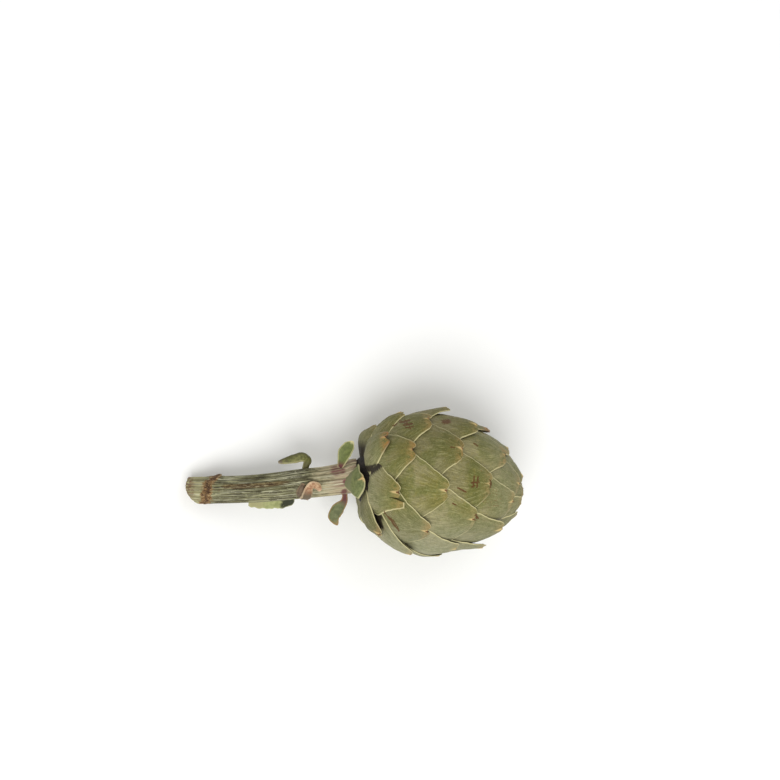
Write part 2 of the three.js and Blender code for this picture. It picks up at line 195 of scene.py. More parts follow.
def tip_length(number):
    """Where a bract's tip lies, as a length along the head's outline. Towards the head's tip they crowd."""
    if number <= CROWDED_FROM:
        return TIP_START + TIP_STEP * number
    reached = TIP_START + TIP_STEP * CROWDED_FROM
    return reached + (OUTLINE.total - reached) * (1 - CROWDING ** (number - CROWDED_FROM))


class Bract:
    """Everything that sets one bract of the head: its path, the way it faces, its width and its tip."""

    def __init__(self, number):
        self.number = number
        low = float(np.clip((6 - number) / 9, 0, 1))
        small = float(np.clip((number - 30) / 20, 0, 0.6))
        moved_along, moved_round = GROWN_ASIDE.get(number, (0, 0))
        usual = (float(np.clip(0.8 * (number + 5), 0.2, 12)), 1, 0.45 + 1.3 * low)
        base, width, self.pillow = BASAL_BRACTS.get(number, usual)
        turned = math.radians(moved_round + 1.5 * draw(number, 2))
        self.azimuth = SPIRAL_START + SPIRAL_STEP * number + turned
        self.set_path(base, moved_along)
        self.set_size(width, low, small)
        self.set_lift(low, small)

    def set_path(self, base, moved_along):
        """The line up the bract's middle, from where it leaves the neck to a little past its tip."""

        def swell(distance):
            share = np.clip((distance - base) / BASE_BULGE, 0, 1)
            return head_radius(distance) * np.sqrt(1 - (1 - share) ** 2)

        tip = tip_length(self.number) + moved_along
        ahead = min(PAST_TIP, OUTLINE.total - tip - 1)
        beyond = OUTLINE.at(tip + 0.6 * draw(self.number, 1) + ahead)[0][0]
        self.path = Path(base, beyond, swell)
        self.tip_at = self.path.total - ahead
        self.length = min(BRACT_LENGTH, self.tip_at - 0.5)

    def set_size(self, width, low, small):
        """The width, and the form of the tip. Bracts are narrow round the stem and in the crown."""
        number = self.number
        lower = np.clip((number + 7) / 12, -0.2, 1)
        upper = np.clip((number - 24) / (LAST_BRACT - 24), 0, 1.35)
        self.half_width = width * BRACT_HALF_WIDTH * (0.56 + 0.44 * lower) * (1 - 0.55 * upper)
        self.tip_half = (TIP_HALF_WIDTH + 0.6 * draw(number, 4)) * (1 - 0.6 * small) * (1 - 0.35 * low)
        self.notch = (NOTCH_DEPTH + 0.8 * draw(number, 5)) * (1 - small)
        self.keel = (KEEL_HEIGHT + 0.25 * draw(number, 6)) * (1 - small)
        self.skew = 0.9 * draw(number, 7)
        self.root = (-8 + 7 * low, 14 + 12 * low)

    def set_lift(self, low, small):
        """How far the tip stands off and curls, and how deep the bract lies. The crown's tips lie flat."""
        number = self.number
        self.standing = STANDING_TIPS.get(number, 0.3 + 0.3 * draw(number, 3)) + 1.3 * small
        self.depth = CROWN_STEP * float(np.clip(number - CROWN_FROM, 0, 18)) - 2.4 * small
        self.curl = TIP_ROLL * (1 - 0.9 * float(np.clip((number - 18) / 10, 0, 1)))
        self.sinks_for = BRACT_LENGTH - 32 * low

    def half_width_at(self, from_tip, spread=FAR_SPREAD):
        wide = self.tip_half + spread * from_tip
        even = self.half_width - 0.15 * np.maximum(self.half_width - wide, 0)
        rounding = np.sqrt(1 - (1 - np.clip((from_tip + 0.35) / 2.6, 0, 1)) ** 2)
        root = smooth(self.length - from_tip, *self.root)
        return np.minimum(wide, even) * rounding * root

    def point(self, from_tip, sideways, lift):
        """A point by its length from the tip, its place sideways in millimetres, and its lift."""
        point, normal = self.path.at(self.tip_at - from_tip)
        radius = np.maximum(point[..., 1] + normal[..., 1] * lift, 0.5)
        turn = sideways / np.maximum(radius, 3.2)
        return head_point(point[..., 0] + normal[..., 0] * lift, radius, self.azimuth + turn)

    def keel_height(self, sideways, from_tip):
        """The short raised ridge that runs out to the tip."""
        ridge = np.exp(-((sideways / (0.8 + 0.06 * from_tip)) ** 2))
        return self.keel * ridge * (1 - smooth(from_tip, 2.5, 4 + 5 * self.keel))

    def lift(self, from_tip, across):
        """How far the outer face lies above the head's outline. It is below it nearly everywhere."""
        loose = np.clip(1 - from_tip / LOOSE_LENGTH, 0, 1)
        curl = self.curl * np.clip(1 - from_tip / 9, 0, 1) ** 2
        roll = np.where(across > 0, FAR_ROLL, NEAR_ROLL) * np.abs(across) ** 2.4
        past = np.maximum(from_tip - self.sinks_for, 0)
        sunk = self.depth + SHINGLE_SLOPE * (from_tip - 0.75 * past)
        root = smooth(self.length - from_tip, 6, 22)
        swell = smooth(from_tip, 1, 12) * (1 - 0.8 * smooth(from_tip, 26, 44)) * root
        return self.standing * loose**2 - sunk - curl - roll + self.pillow * (1 - across**2) * swell


class Shape:
    """Closed meshes, with numbers kept on their points, that become one piece."""

    def __init__(self):
        self.points = []
        self.faces = []
        self.values = []
        self.count = 0

    def add(self, points, faces, values):
        """Takes points, lists of faces by their corners, and a number or a vector for each point."""
        volume = 0
        for face in faces:
            for k in range(1, face.shape[1] - 1):
                a, b, c = points[face[:, 0]], points[face[:, k]], points[face[:, k + 1]]
                volume += np.einsum("ij,ij->", a, np.cross(b, c))
        outward = [face if volume > 0 else face[:, ::-1] for face in faces]
        self.points.append(points)
        self.faces.extend(face + self.count for face in outward)
        self.values.append(values)
        self.count += len(points)


def grid_faces(rows, count):
    """Four-sided faces between rows of points, each row a closed loop."""
    row, column = np.meshgrid(np.arange(rows - 1) * count, np.arange(count), indexing="ij")
    after = (column + 1) % count
    corners = (row + column, row + after, row + count + after, row + count + column)
    return np.stack(corners, -1).reshape(-1, 4)


def tube_faces(rows, count):
    """The faces of a tube of closed loops, with a flat end at both."""
    first = np.arange(count)[None]
    return [grid_faces(rows, count), first[:, ::-1], first + (rows - 1) * count]


def strip_cap(start, columns):
    """Closes the end of a slab, whose loop runs out over the top, round one edge and back underneath."""
    j = np.arange(columns - 1)
    across = np.stack([j, j + 1, 2 * columns - j - 1, 2 * columns - j], -1)
    edges = np.array([[columns - 1, columns, columns + 1], [2 * columns, 2 * columns + 1, 0]])
    return [across + start, edges + start]


def add_slab(shape, outer, inner, rim, values):
    """A closed, thin slab between two grids of points. rim is how far its edges round outwards."""
    rows, columns = outer.shape[:2]
    middle = (outer + inner) / 2
    right = middle[:, -1] + rim[:, None] * unit(outer[:, -1] - outer[:, -2])
    left = middle[:, 0] + rim[:, None] * unit(outer[:, 0] - outer[:, 1])
    loops = np.concatenate([outer, right[:, None], inner[:, ::-1], left[:, None]], axis=1)
    nose = loops[0] + 0.6 * (np.concatenate([middle[0], right[:1], middle[0, ::-1], left[:1]]) - loops[0])
    nose = nose + rim[0] * 0.8 * unit(loops[0] - loops[1])
    loops = np.concatenate([nose[None], loops])
    count = 2 * columns + 2
    faces = [grid_faces(rows + 1, count), *strip_cap(0, columns), *strip_cap(rows * count, columns)]
    faces[1] = faces[1][:, ::-1]
    faces[2] = faces[2][:, ::-1]
    spread = {}
    for name, value in values.items():
        both = np.concatenate([value, value[:, -1:], value[:, ::-1], value[:, :1]], axis=1)
        spread[name] = np.concatenate([both[:1], both]).reshape(-1, *value.shape[2:])
    under = np.zeros((rows + 1, count))
    under[:, columns + 1:2 * columns + 1] = 1
    spread["under"] = under.reshape(-1)
    shape.add(loops.reshape(-1, 3), faces, spread)


def add_spine(shape, root, forward, outward, length, width, values):
    """The small hooked point at a bract's tip."""
    steps, sides = 7, 8
    share = np.linspace(0, 1, steps)
    line = root + np.outer(share * length, forward) + np.outer(share**2 * length * 0.55, outward)
    across = unit(np.cross(forward, outward))
    radius = width * (1 - share) ** 0.7 + 0.07
    angle = np.linspace(0, 2 * math.pi, sides, endpoint=False)
    ring = np.cos(angle)[:, None] * across + np.sin(angle)[:, None] * outward
    loops = line[:, None] + radius[:, None, None] * ring
    count = steps * sides
    filled = {name: np.broadcast_to(value, (count, *np.shape(value))) for name, value in values.items()}
    shape.add(loops.reshape(-1, 3), tube_faces(steps, sides), filled)


def pressed_flat(points):
    """Whatever presses on the surface that the plant lies on is flat there."""
    height = points[:, 2]
    pressed = np.where(height < PRESS_DEPTH, PRESS_DEPTH * np.exp(height / PRESS_DEPTH - 1), height)
    return np.stack([points[:, 0], points[:, 1], pressed], -1)


def make_piece(name, shape, material, node, crease=70):
    """One object from a shape. It rides with the part and stands for a node of the CAD model."""
    points = pressed_flat(np.concatenate(shape.points) + CENTRING) * MM
    corners = np.concatenate([face.reshape(-1) for face in shape.faces])
    sizes = np.concatenate([np.full(len(face), face.shape[1]) for face in shape.faces])
    mesh = bpy.data.meshes.new(name)
    mesh.vertices.add(len(points))
    mesh.vertices.foreach_set("co", points.astype(np.float32).reshape(-1))
    mesh.loops.add(len(corners))
    mesh.loops.foreach_set("vertex_index", corners.astype(np.int32))
    mesh.polygons.add(len(sizes))
    starts = np.concatenate([[0], np.cumsum(sizes)[:-1]])
    mesh.polygons.foreach_set("loop_start", starts.astype(np.int32))
    mesh.update(calc_edges=True)
    for key, sample in shape.values[0].items():
        value = np.concatenate([values[key] for values in shape.values]).astype(np.float32)
        vector = np.ndim(sample) == 2
        attribute = mesh.attributes.new(key, "FLOAT_VECTOR" if vector else "FLOAT", "POINT")
        attribute.data.foreach_set("vector" if vector else "value", value.reshape(-1))
    mesh.shade_smooth()
    mesh.set_sharp_from_angle(angle=math.radians(crease))
    mesh.materials.append(material)
    piece = bpy.data.objects.new(name, mesh)
    bpy.context.scene.collection.objects.link(piece)
    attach(piece, "root")
    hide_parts(node)
    return piece


# The head's bracts.

TEAR_AT = 3.4  # sideways from the torn bract's middle
TEAR_LENGTH = 11
FLAP_BLUNTNESS = 3.2
SPINELESS = (  # bracts that have lost their spine
    -10, -6, -5, -2, 2, 5, 9, 13, 16, 17, 20, 24, 27, 28, 31, 35, 36, 39,
)
WORN_TIPS = {  # how brown they are
    -5: 0.8, -3: 0.3, 0: 0.15, 3: 0.4, 6: 0.15, 8: 0.2, 14: 0.2, 20: 1, 25: 0.3,
}
# How dark each listed bract is: partly its own tone, partly painted shade for how little light reaches it.
DARK_AND_SHADED_BRACTS = {
    -5: 0.6, -3: 1.7, 5: 0.1, 6: 0.8, 8: 0.9, 9: 0.9, 11: 0.4, 12: 0.8, 14: 1.3, 16: 0, 17: 0.8, 19: 0.2,
    22: 1,
}
GAP_SHADES = {  # painted shade in the gaps beside a loose neighbour: from X and Y, to X and Y, and how wide
    5: [((5.2, -16.2), (7.6, -20.2), 2.8), ((7.2, -19.5), (9.6, -25.5), 1.7)],
    0: [((2.8, 7.2), (8.6, 12.6), 1.5)],
    -5: [((2, 9), (6.6, 10.4), 2)],
}
BRACT_ROWS = 44
BRACT_COLUMNS = 37
CORE_STEPS = 60
CORE_SIDES = 96


def bract_tint_and_shade(number):
    """Three fixed numbers for a bract: how grey it is, how dark, partly its own tone and partly painted
    shade, and where its cloudy patches lie.
    """
    dark = DARK_AND_SHADED_BRACTS.get(number, 0.5 + 0.3 * draw(number, 12))
    return np.array([0.5 + 0.5 * draw(number, 11), dark, number * 3.7])


def gap_shade(number, points):
    """How far points lie in the painted shade of the gaps beside a bract's loose neighbours, from 0 to 1."""
    flat = (points + CENTRING)[..., :2]
    found = np.zeros(flat.shape[:-1])
    for start, end, width in GAP_SHADES.get(number, ()):
        run = np.subtract(end, start)
        share = np.clip((flat - start) @ run / (run @ run), 0, 1)
        gap = np.linalg.norm(flat - start - share[..., None] * run, axis=-1)
        found = np.maximum(found, 1 - smooth(gap, 0.8 * width, 1.1 * width))
    return found


def add_bract(shape, number):
    """One bract with its spine. A torn one is made in two halves, one of which has slid forward."""
    b = Bract(number)
    size = 1 if number <= LAST_BRACT else 0.6
    rows = int(BRACT_ROWS * size)
    columns = int(BRACT_COLUMNS * size) // 2 * 2 + 1
    even = np.linspace(-1, 1, columns)
    across = 0.55 * even + 0.45 * np.sin(even * math.pi / 2)
    from_tip = b.length * (np.arange(rows) / (rows - 1)) ** 1.6
    if number == TORN_BRACT:
        share = (across + 1) / 2
        for flap in (0, 1):
            tear = np.clip(TEAR_AT / b.half_width_at(blunt(from_tip, flap)), 0.1, 0.75)[:, None]
            part = tear + share * (1 - tear) if flap else -1 + share * (tear + 1)
            add_bract_blade(shape, b, from_tip, part, flap)
    else:
        add_bract_blade(shape, b, from_tip, np.broadcast_to(across, (rows, columns)), 0)
    if number not in SPINELESS:
        add_bract_spine(shape, b)


def blunt(from_tip, flap):
    """Where the width of a torn bract's loose flap is read, so that the flap ends bluntly."""
    return from_tip + flap * FLAP_BLUNTNESS * np.clip(1 - from_tip / TEAR_LENGTH, 0, 1)


def bract_sides(b, from_tip, flap):
    """How far a bract's two edges lie from its middle. They wander a little."""
    ragged = smooth(from_tip, 0, 1.5)
    sides = []
    for purpose, spread in ((20, NEAR_SPREAD), (21, FAR_SPREAD)):
        width = b.half_width_at(blunt(from_tip, flap), spread)
        slow = 0.03 * width * wander(b.number, purpose, from_tip, 31)
        quick = 0.25 * wander(b.number, purpose + 2, from_tip, 9)
        sides.append(width + (slow + quick) * ragged)
    return sides


def bract_relief(b, length, sideways, across):
    """The keel, the soft dents and the fine folds on a bract's face."""
    dents = 0.28 * wander(b.number, 30, length + 0.7 * sideways, 37) * smooth(length, 1, 8)
    folds = 0.12 * np.cos(sideways * 1.35 + draw(b.number, 31)) * smooth(length, 5, 14)
    return b.keel_height(sideways, length) + (dents + folds) * (1 - across**4)


def bract_values(b, outer, length, sideways, across, edge):
    """The numbers that a bract's points keep for its material."""
    wedge = 0.35 + 1.1 * np.clip(1 - length / (5 + 5 * b.keel), 0, 1)
    streak = np.exp(-((sideways / wedge) ** 2)) * (1 - smooth(length, 2, 6 + 5 * b.keel))
    # Painted shade on the base that the next bracts cover, where it shows in the gaps.
    shaded_base = smooth(length, b.length - 15, b.length - 4)
    worn = WORN_TIPS.get(b.number, 0.05 + 0.05 * draw(b.number, 13))
    return {
        "leaf": np.stack([sideways, length, across + 0 * length], -1),
        "tint_and_shade": np.broadcast_to(bract_tint_and_shade(b.number), (*across.shape, 3)),
        "edge": edge,
        "keel": streak * min(1, b.keel / KEEL_HEIGHT),
        "deep": np.maximum(shaded_base, gap_shade(b.number, outer)),
        "spine": np.zeros(across.shape),
        "worn": np.full(across.shape, worn),
    }


def add_bract_blade(shape, b, from_tip, across, flap):
    """A bract, or one side of a torn one. flap is 1 for the side that has come away and slid forward."""
    near, far = bract_sides(b, from_tip, flap)
    sideways = np.where(across < 0, near[:, None], far[:, None]) * across
    notch = b.notch * np.exp(-((sideways / 2) ** 2)) * np.clip(1 - from_tip[:, None] / 8, 0, 1) ** 2
    length = from_tip[:, None] + notch
    lift = b.lift(length, across) + bract_relief(b, length, sideways, across)
    thickness = (0.85 + 0.7 * smooth(length, 0, 12)) * (1 - 0.66 * np.abs(across) ** 4)

    skew = b.skew * np.clip(1 - from_tip / 18, 0, 1) ** 2
    free = flap * np.clip(1 - length / TEAR_LENGTH, 0, 1) ** 1.3
    placed = sideways + skew[:, None] + free * 2.8
    moved = length - free * 2.2
    lift = lift - free * 0.8
    outer = b.point(moved, placed, lift)
    inner = b.point(moved, placed, lift - thickness)
    width = b.half_width_at(blunt(from_tip, flap))
    edge = np.minimum((1 - np.abs(across)) * width[:, None] * 0.76, from_tip[:, None])
    values = bract_values(b, outer, length, sideways, across, edge)
    add_slab(shape, outer, inner, thickness[:, 0] * 0.45, values)


def add_bract_spine(shape, b):
    """The short brown hook in the notch at a bract's tip."""
    at = np.array([0.3, 2.5]) + b.notch
    skew = b.skew * (1 - at / 18) ** 2
    line = b.point(at, skew, b.lift(at, 0) + b.keel_height(0, at))
    below = b.point(at, skew, b.lift(at, 0) - 1)
    forward = unit(line[0] - line[1])
    outward = unit(line[0] - below[0])
    size = b.keel / KEEL_HEIGHT
    length = (1.5 + 0.3 * draw(b.number, 8)) * size
    values = {
        "leaf": np.zeros(3), "tint_and_shade": bract_tint_and_shade(b.number), "edge": 9.0, "keel": 1.0, "deep": 0.0,
        "spine": 1.0, "worn": 0.0, "under": 0.0,
    }
    root = line[0] - 0.8 * forward - 0.3 * outward
    add_spine(shape, root, forward, outward, length, 0.4 * size, values)


def add_core(shape):
    """The receptacle that the bracts grow from."""
    length = OUTLINE.total * np.arange(CORE_STEPS) / CORE_STEPS
    point, normal = OUTLINE.at(length)
    sunk = point - normal * CORE_DEPTH
    foot = [[NECK_GAP, 0.5], [NECK_GAP, CORE_FOOT]]
    profile = np.concatenate([foot, sunk[sunk[:, 1] > CORE_FOOT]])
    profile[2:, 0] = np.maximum(profile[2:, 0], NECK_GAP + 0.1)
    angle = np.linspace(0, 2 * math.pi, CORE_SIDES, endpoint=False)
    loops = head_point(profile[:, :1] + 0 * angle, profile[:, 1:] + 0 * angle, angle)
    along = np.repeat(profile[:, 0], CORE_SIDES)
    around = np.tile(angle, len(profile)) * 20
    values = {"leaf": np.stack([around, along, 0 * along], -1)}
    shape.add(loops.reshape(-1, 3), tube_faces(len(profile), CORE_SIDES), values)


# The stem and what grows on it.


def spline(points, share):
    """A centripetal Catmull-Rom curve through points, read at shares from 0 to 1, with its direction."""
    points = np.asarray(points, float)
    last = len(points) - 1
    place = np.asarray(share) * last
    index = np.minimum(place.astype(int), last - 1)
    t = (place - index)[:, None]
    padded = np.concatenate([[2 * points[0] - points[1]], points, [2 * points[-1] - points[-2]]])
    p0, p1, p2, p3 = (padded[index + k] for k in range(4))
    gaps = (p1 - p0, p2 - p1, p3 - p2)
    d0, d1, d2 = (np.sqrt(np.linalg.norm(gap, axis=1, keepdims=True)) for gap in gaps)
    m1 = ((p1 - p0) / d0 - (p2 - p0) / (d0 + d1) + (p2 - p1) / d1) * d1
    m2 = ((p2 - p1) / d1 - (p3 - p1) / (d1 + d2) + (p3 - p2) / d2) * d1
    bend = -3 * p1 + 3 * p2 - 2 * m1 - m2
    twist = 2 * p1 - 2 * p2 + m1 + m2
    at = p1 + m1 * t + bend * t**2 + twist * t**3
    return at, unit(m1 + 2 * bend * t + 3 * twist * t**2)


TUBE_ROWS = 700
STEM_ROWS = 210
STEM_SIDES = 220
CUT_RINGS = 14
BLADE_ROWS = 60
BLADE_COLUMNS = 25
FINE_RIBS = (13, 17, 20, 23, 27, 31, 36, 41)  # waves round the stem, which drift past each other along it


def stem_ribs(angle, x):
    """How high the stem's uneven ribs stand, from 0 in a groove to 1."""
    total = 0
    for k, waves in enumerate(FINE_RIBS):
        drift = 0.028 * draw(k, 50) * x
        total = total + np.sin(waves * angle + math.pi * draw(k, 51) + drift) / (1 + 0.12 * k)
    return smooth(total, -2.6, 1.2)


def stem_tube(angle):
    """The stem's middle line and skin before it is cut, and how high its ribs and its leaf scar stand."""
    centre, run = spline(STEM_LINE[:, :3], np.linspace(0, 1, TUBE_ROWS))
    radius = np.interp(centre[:, 0], STEM_LINE[:, 0], STEM_LINE[:, 3])
    top = unit(np.array([0, 0, 1]) - run * run[:, 2:])
    across = np.cross(run, top)
    x = centre[:, :1]
    rib = stem_ribs(angle, x)
    slant = -2.8 * np.sin(angle) + 0.9 * np.sin(3 * angle) + 0.6 * np.sin(7 * angle + 2)
    scar = np.exp(-(((x - LEAF_SCAR_AT - slant) / LEAF_SCAR_WIDTH) ** 2))
    rough = 0.5 + 0.5 * np.sin(11 * angle + x * 1.1) * np.sin(5 * angle - x * 0.7)
    wide = radius[:, None] + RIB_DEPTH * (rib - 0.75) + LEAF_SCAR_HEIGHT * scar * (0.5 + rough)
    flank = np.cos(angle)[None, :, None] * top[:, None] + np.sin(angle)[None, :, None] * across[:, None]
    return centre, centre[:, None] + wide[..., None] * flank, rib, scar


def cut_to_length(centre, tube, rib, scar):
    """The same skin, read anew in rows that run from the bulging cut to the head."""
    off_middle = (tube[..., 1] - centre[:, 1:2] + 1) / CUT_HALF_WIDTH
    bulge = CUT_BULGE * np.clip(1 - off_middle**2, 0, 1)
    from_cut = (tube - STEM_CUT_AT) @ unit(STEM_CUT_FACING) - bulge
    from_neck = (tube - NECK) @ ALONG
    share = np.linspace(0, 1, len(tube))
    rows = np.linspace(0, 1, STEM_ROWS)
    tables = [tube[..., 0], tube[..., 1], tube[..., 2], rib, scar]
    fitted = np.zeros((len(tables), STEM_ROWS, STEM_SIDES))
    for j in range(STEM_SIDES):
        start = np.interp(0, -from_cut[:, j], share)
        end = np.interp(0, from_neck[:, j], share)
        wanted = start + (end - start) * rows
        for table, column in zip(tables, fitted[:, :, j]):
            column[:] = np.interp(wanted, share, table[:, j])
    return np.stack(fitted[:3], -1), fitted[3], fitted[4]


def cut_rings(rim, angle):
    """Uneven rings of points just behind the flat end that closes the stem, from its rim to the middle."""
    rings = []
    for inward in np.arange(1, CUT_RINGS + 1) / (CUT_RINGS + 1):
        relief = 0.2 * np.sin(9 * angle + 5 * inward) * (1 - inward) - 0.88 * smooth(inward, 0.1, 0.7)
        flat = rim + (rim.mean(axis=0) - rim) * inward
        rings.append(flat + relief[:, None] * unit(STEM_CUT_FACING))
    return np.array(rings)


def add_stem(shape):
    """The bare stem: ribbed, with the ring that a fallen leaf left, and cut off at its end."""
    angle = np.linspace(0, 2 * math.pi, STEM_SIDES, endpoint=False)
    loops, rib, scar = cut_to_length(*stem_tube(angle))
    loops[..., 2] = np.maximum(loops[..., 2], 0.02)
    points = np.concatenate([cut_rings(loops[0], angle), loops])
    blank = np.zeros(points.shape[:2])
    cut = blank.copy()
    cut[:CUT_RINGS] = (np.arange(CUT_RINGS, 0, -1) / CUT_RINGS)[:, None]
    on_rings = ((CUT_RINGS, 0), (0, 0))
    around = angle * 8.4 + blank
    values = {
        "leaf": np.stack([around, points[..., 0], blank], -1).reshape(-1, 3),
        "rib": np.pad(rib, on_rings, "edge").reshape(-1),
        "scar": np.pad(scar, on_rings, "edge").reshape(-1),
        "cut": cut.reshape(-1),
        "angle": ((angle + math.pi) % (2 * math.pi) - math.pi + blank).reshape(-1),
    }
    shape.add(points.reshape(-1, 3), tube_faces(len(points), STEM_SIDES), values)


def blade_width(share, half):
    """Half a blade's width along it, read between the given points, with a rounded tip."""
    width = np.interp(share * (len(half) - 1), np.arange(len(half)), half)
    return width * np.sqrt(1 - (1 - np.clip((1 - share) * 14 + 0.12, 0, 1)) ** 2)


def add_blade(shape, line, half, facing, cup, thick, number, wave=0.0, ragged=0.0, ridge=0.0):
    """A small bract or leaf along a line of points, from its foot to its tip.

    half is half its width at each point, and facing is the way that its outer face looks. cup bends its edges
    up, wave ripples them, ragged tears them, and ridge raises a keel towards its tip.
    """
    share = np.linspace(1, 0, BLADE_ROWS)
    middle, run = spline(line, share)
    sides = unit(np.cross(run, unit(np.array(facing, float))))
    out = np.cross(sides, run)
    length = (1 - share) * np.sum(np.linalg.norm(np.diff(middle, axis=0), axis=1))
    width = blade_width(share, half)[:, None]
    even = np.linspace(-1, 1, BLADE_COLUMNS)
    across = 0.6 * even + 0.4 * np.sin(even * math.pi / 2)

    left, right = (wander(number, purpose, length, 12)[:, None] for purpose in (40, 41))
    sideways = width * (1 + ragged * np.where(across < 0, left, right)) * across
    lift = cup * width * across**2 + wave * across**2 * wander(number, 42, length, 14)[:, None]
    lift = lift + ridge * np.exp(-np.abs(sideways)) * smooth(share, 0.35, 0.7)[:, None]
    thin = thick * (0.5 + 0.5 * smooth(length, 0, 5))[:, None] * (1 - 0.45 * across**4)
    body = middle[:, None] + sideways[..., None] * sides[:, None] + lift[..., None] * out[:, None]
    outer = body + out[:, None] * thin[..., None] / 2
    inner = body - out[:, None] * thin[..., None] / 2
    blank = 0 * sideways
    values = {
        "leaf": np.stack([sideways, length[:, None] + blank, across + blank], -1),
        "edge": np.minimum((1 - np.abs(across)) * width, length[:, None]),
        "keel": ridge * np.exp(-((sideways / 0.7) ** 2)) * smooth(share, 0.5, 0.95)[:, None],
        "share": share[:, None] + blank,
    }
    add_slab(shape, outer, inner, thin[:, 0] * 0.45, values)


BLADES = {
    "neck_bract": dict(
        line=[[-9, 0, 43.2], [-6.8, 0.1, 47], [-4.3, 0.4, 51], [-2.5, 1.2, 54.4], [-0.4, 2.8, 57.2]],
        half=[3.4, 6.4, 10.2, 6.4, 1.2], facing=[-0.55, 0.16, 0.83], cup=-0.2, thick=1.5, number=101,
        ridge=0.9,
    ),
    "stalked_bract": dict(
        line=[[-12.7, 4, 36], [-11.4, 8.5, 39.5], [-10.6, 12.5, 42], [-9.3, 17, 43.5], [-6.7, 21, 44],
              [-4.6, 23.7, 44]],
        half=[1.5, 1.5, 2.6, 4, 3.2, 0.8], facing=[-0.35, 0.1, 1], cup=0.3, thick=1.2, number=102,
    ),
    "hanging_bract": dict(
        line=[[-8, -4.4, 32], [-7, -9.4, 30.5], [-7.4, -12.9, 29], [-10.6, -17, 27], [-12.6, -22, 25],
              [-10.4, -27.4, 23.5]],
        half=[1.4, 1.3, 1.9, 3.7, 3.4, 0.8], facing=[-0.2, -0.3, 1], cup=0.3, thick=1.2, number=103,
    ),
    "curled_leaflet": dict(
        line=[[-31.3, 4, 29], [-30.5, 8.6, 30], [-29.8, 12.6, 31.5], [-33, 14.7, 33], [-39, 13.3, 33],
              [-47.5, 11.2, 31]],
        half=[1.8, 1.8, 2.4, 2.9, 2.6, 1.3], facing=[0.1, 0.5, 1], cup=-0.3, thick=1.3, number=104, wave=0.4,
    ),
    "torn_leaf": dict(
        line=[[-63, -11.4, 15.5], [-56, -12, 16.5], [-49, -12.2, 18], [-42.7, -12.2, 19.5],
              [-36.3, -12, 21.5]],
        half=[4.2, 5.2, 4.9, 4.7, 2.4], facing=[0, -0.35, 1], cup=0.14, thick=1.1, number=105, wave=0.9,
        ragged=0.09,
    ),
    "dried_stub": dict(
        line=[[-31.5, -8, 28], [-31.6, -10.4, 34], [-31.4, -8.8, 38.4], [-30.6, -4.6, 41.2],
              [-28.4, -2, 42.4], [-25.4, -3.2, 41.2], [-22.7, -6.4, 37.8]],
        half=[2.2, 3, 2.9, 2.2, 1.8, 2, 1.3], facing=[0, -0.4, 1], cup=-0.2, thick=1.8, number=106, wave=0.3,
        ragged=0.1,
    ),
    "dried_husk": dict(
        line=[[-34.6, -9.8, 30.5], [-35, -8.8, 34.6], [-35, -6.4, 37.8], [-34.6, -3.6, 39.4],
              [-33.4, -1.4, 39.5]],
        half=[1.8, 2.5, 2.4, 1.8, 1], facing=[-0.2, -0.4, 1], cup=-0.3, thick=1.4, number=108, wave=0.4,
        ragged=0.12,
    ),
    "scar_scale": dict(
        line=[[-87.6, -1.4, 15.5], [-85, 0.8, 15.6], [-82.4, 2.6, 16], [-79.8, 3.6, 17]],
        half=[1.8, 2.4, 1.8, 0.8], facing=[-0.1, 0.8, 0.6], cup=-0.3, thick=1.2, number=107, wave=0.3,
        ragged=0.12,
    ),
}


# Materials.


def colour(red, green, blue):
    """A colour as it looks on a screen, 0 to 255, turned into light."""
    share = np.array([red, green, blue]) / 255
    linear = np.where(share <= 0.04045, share / 12.92, ((share + 0.055) / 1.055) ** 2.4)
    return (*(float(v) for v in linear), 1.0)


MARKS = [  # brown scratches on the bracts that face up: from X and Y, to X and Y, and how wide
    ((22.2, 36.2), (27.2, 37.5), 0.6), ((23.3, 34.6), (27.7, 35.6), 0.7), ((23.9, 33.2), (27.7, 34), 0.6),
    ((25, 37.8), (26.1, 32.4), 0.5), ((17.9, 34), (20.6, 35.4), 0.5), ((22.8, 37.3), (25, 35.1), 0.6),
    ((46.9, 36.7), (50.6, 36.9), 1.9), ((60.7, 5.3), (59.6, -1.1), 0.8), ((62.9, 4.7), (62.1, -1.1), 0.8),
    ((59, 1.3), (63.4, 1.8), 0.8), ((58.8, -0.9), (60.6, -0.3), 0.7), ((50.4, -1.5), (55.4, -3.9), 0.7),
    ((13.8, -19.4), (15.8, -23.6), 0.5), ((15.7, -23), (18.8, -27.1), 0.5),
    ((9.8, -15.3), (13.6, -20.6), 0.4), ((12.6, -18.6), (16.2, -24.4), 0.4),
    ((14.9, -20.4), (18.2, -25.6), 0.4), ((63.3, 23.9), (65.3, 22.7), 0.7),
    ((47.3, 22.2), (49.1, 21.9), 0.7), ((47.5, -10.5), (49.3, -11.4), 0.7),
    ((62.4, -17.6), (64.1, -19.6), 1.2), ((70.8, 2.6), (72.2, 0.7), 0.9),
    ((72.2, 0.7), (70.9, -1.3), 0.9),
]
SPECKLED = (73, -8.5)  # the middle of a patch with many freckles
MARKS_ABOVE = 40
STAINS = [(-14, 7, 4), (-10.5, 7.5, 3), (-8.6, -5.2, 2.6), (-8.8, 1, 2)]  # purple spots: X, Y and how wide

GREY_TAN = colour(144, 136, 96)
OLIVE = colour(112, 107, 42)
LEAF_GREEN = colour(100, 104, 42)
YELLOW_GREEN = colour(140, 130, 62)
GREY_GREEN = colour(147, 146, 120)
DARK_GREEN = colour(70, 69, 28)
PALE_THREAD = colour(186, 180, 132)
CREAM = colour(202, 194, 146)
KEEL_CREAM = colour(206, 182, 126)
TAN = colour(190, 160, 106)
ORANGE_BROWN = colour(152, 100, 46)
BROWN = colour(112, 76, 44)
